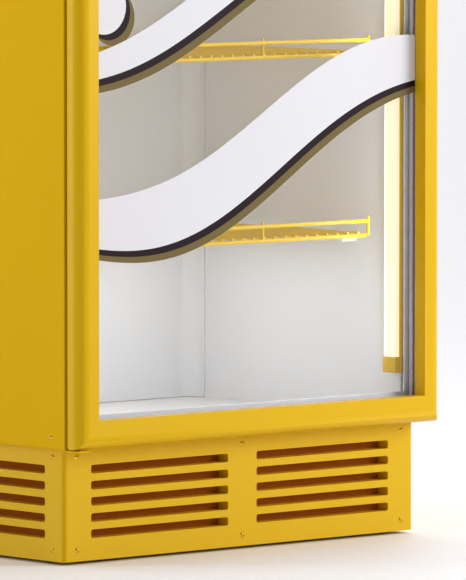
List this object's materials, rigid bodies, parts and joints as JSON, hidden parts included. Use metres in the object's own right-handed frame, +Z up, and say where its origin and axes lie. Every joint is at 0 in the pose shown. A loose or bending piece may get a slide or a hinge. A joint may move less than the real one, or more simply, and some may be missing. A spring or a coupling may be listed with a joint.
{
  "type": "display cooler",
  "caption": "Upright glass-door display cooler: louvred plinth, rounded door frame, wire shelves, lit interior and a plain light box on top.",
  "frame": {"origin": "centre of the object's box at floor level, under the feet", "axes": "+Z up, the door faces -Y, +X to the right as seen from the front"},
  "size_m": [0.6038, 0.613, 1.84],
  "materials": {
    "yellow_paint": "satin",
    "yellow_frame": "satin",
    "yellow_moulding": "satin",
    "yellow_wire": "satin",
    "yellow_trim": "satin",
    "white_liner": "satin",
    "white_sheet": "satin",
    "foam": "matte",
    "pane": "gloss",
    "spacer": "satin",
    "black_rubber": "matte",
    "grey_rubber": "matte",
    "galvanised": "satin",
    "plain_steel": "satin",
    "black_paint": "satin",
    "black_plastic": "matte",
    "coil_fins": "satin",
    "copper": "satin",
    "lamp_lens": "satin",
    "sign_lens": "satin",
    "light_strip": "matte",
    "white_plastic": "matte",
    "bush_plastic": "matte"
  },
  "bodies": {
    "cabinet": {"side_panel_left": "yellow_paint", "side_panel_right": "yellow_paint", "top_panel": "yellow_paint", "bottom_deck": "yellow_paint", "back_panel": "galvanised", "inner_liner": "white_liner", "foam_insulation": "foam", "breaker_frame": "white_liner", "front_sill": "white_liner", "air_duct_cover": "white_sheet", "plinth_grille": "yellow_moulding", "skirt_screws": "yellow_paint", "panel_screws": "yellow_paint", "base_frame": "galvanised", "levelling_feet": "black_plastic", "foot_nuts": "plain_steel", "rear_guard": "galvanised", "condenser_coil": "coil_fins", "condenser_fan_shroud": "galvanised", "compressor": "black_paint", "compressor_grommets": "black_rubber", "evaporation_tray": "black_plastic", "control_box": "black_plastic", "power_inlet": "black_plastic", "refrigerant_pipes": "copper", "evaporator_coil": "coil_fins", "thermostat_housing": "white_plastic", "shelf_1": "yellow_wire", "shelf_2": "yellow_wire", "shelf_3": "yellow_wire", "shelf_4": "yellow_wire", "shelf_5": "yellow_wire", "shelf_clips": "white_plastic", "lamp_housing": "yellow_trim", "lamp_diffuser": "lamp_lens", "lamp_led_strip": "light_strip", "lamp_end_caps": "yellow_trim", "header_box": "yellow_paint", "header_panel": "sign_lens", "header_light": "light_strip", "header_back_panel": "yellow_paint", "switch_housing": "black_plastic", "hinge_brackets": "yellow_paint", "hinge_pins": "plain_steel", "hinge_washer": "bush_plastic", "condenser_fan_motor": "plain_steel", "evaporator_fan_motor": "plain_steel"},
    "door": {"door_frame": "yellow_frame", "hinge_bushes": "bush_plastic", "glass_outer": "pane", "glass_inner": "pane", "glass_spacer": "spacer", "glazing_seal": "black_rubber", "door_inner_frame": "white_liner", "door_gasket": "grey_rubber", "door_handle": "yellow_paint"},
    "condenser_fan": {"condenser_fan_blade": "black_plastic"},
    "evaporator_fan": {"evaporator_fan_blade": "white_plastic"},
    "thermostat_knob": {"thermostat_knob": "black_plastic"},
    "light_switch": {"switch_rocker": "black_plastic"}
  },
  "joints": [
    {"name": "door_hinge", "type": "hinge", "parent": "cabinet", "child": "door", "pos_m": [-0.29, -0.2555, 0.896], "axis": [0, 0, -1], "range_deg": [0, 100]},
    {"name": "condenser_fan_spin", "type": "hinge", "parent": "cabinet", "child": "condenser_fan", "pos_m": [-0.105, -0.15, 0.068], "axis": [0, 1, 0], "continuous": true},
    {"name": "evaporator_fan_spin", "type": "hinge", "parent": "cabinet", "child": "evaporator_fan", "pos_m": [0, 0.18, 1.5], "axis": [0, 1, 0], "continuous": true},
    {"name": "thermostat_turn", "type": "hinge", "parent": "cabinet", "child": "thermostat_knob", "pos_m": [0.19, -0.1653, 1.57], "axis": [0, 0, 1], "range_deg": [-135, 135]},
    {"name": "switch_rock", "type": "hinge", "parent": "cabinet", "child": "light_switch", "pos_m": [0.294, -0.1095, 1.756], "axis": [0, 0, -1], "range_deg": [0, 16]}
  ]
}
